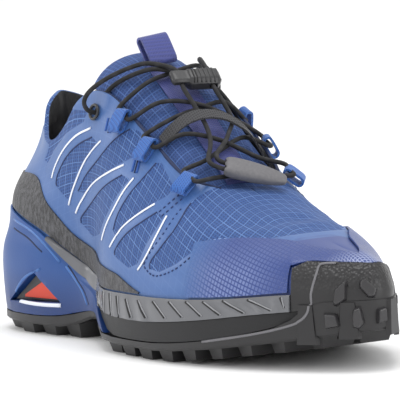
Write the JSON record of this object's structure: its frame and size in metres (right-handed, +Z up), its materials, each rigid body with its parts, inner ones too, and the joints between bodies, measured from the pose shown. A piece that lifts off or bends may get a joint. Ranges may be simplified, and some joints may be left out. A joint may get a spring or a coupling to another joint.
{
  "type": "trail running shoe",
  "caption": "Right low-cut trail running shoe with lugged sole, wrapped heel cradle, ribbed rims, toe bumper and a quick lace with cord lock.",
  "frame": {"origin": "middle of the bottom of the bounding box, on the floor under the sole", "axes": "+X towards the toe, +Y towards the inner (medial) side, +Z up"},
  "size_m": [0.2921, 0.1066, 0.1491],
  "materials": {
    "tread_rubber": "matt black moulded tread rubber",
    "dark_foam": "dark grey moulded EVA foam",
    "blue_foam": "satin royal blue moulded EVA foam",
    "red_film": "glossy orange-red printed film",
    "grey_rim": "satin mid grey ribbed rim",
    "lining": "black brushed lining and foot bed cloth",
    "ripstop": "matt blue ripstop cloth with lighter grid",
    "rand_film": "textured charcoal film",
    "toe_film": "blue-violet toe film with darker grid",
    "tongue_cloth": "padded blue ripstop",
    "navy_ribbon": "navy blue woven ribbon",
    "elastic": "dark elastic tape",
    "blue_ribbon": "bright blue woven ribbon",
    "fitting_plastic": "charcoal moulded plastic",
    "lace_cord": "dark grey braided cord"
  },
  "bodies": {
    "root": {"outsole": "tread_rubber", "midsole_core": "dark_foam", "heel_cradle": "blue_foam", "heel_inset_lateral": "red_film", "heel_inset_medial": "red_film", "rib_band_lateral": "grey_rim", "rib_band_medial": "grey_rim", "insole": "lining", "upper": "ripstop", "side_rand": "rand_film", "toe_guard": "toe_film", "tongue": "tongue_cloth", "tongue_label": "navy_ribbon", "tongue_strap": "elastic", "pull_loop": "navy_ribbon", "webbing_loop_lateral_1": "blue_ribbon", "webbing_loop_lateral_2": "blue_ribbon", "webbing_loop_lateral_3": "blue_ribbon", "eyelet_lateral": "fitting_plastic", "webbing_loop_medial_1": "blue_ribbon", "webbing_loop_medial_2": "blue_ribbon", "webbing_loop_medial_3": "blue_ribbon", "eyelet_medial": "fitting_plastic", "lace_cross_low": "lace_cord", "lace_cross_middle": "lace_cord", "lace_cross_top": "lace_cord", "lace_bar": "lace_cord", "lace_lock": "fitting_plastic", "lace_toggle": "fitting_plastic", "lace_end_lateral": "lace_cord", "lace_end_medial": "lace_cord"}
  },
  "joints": []
}
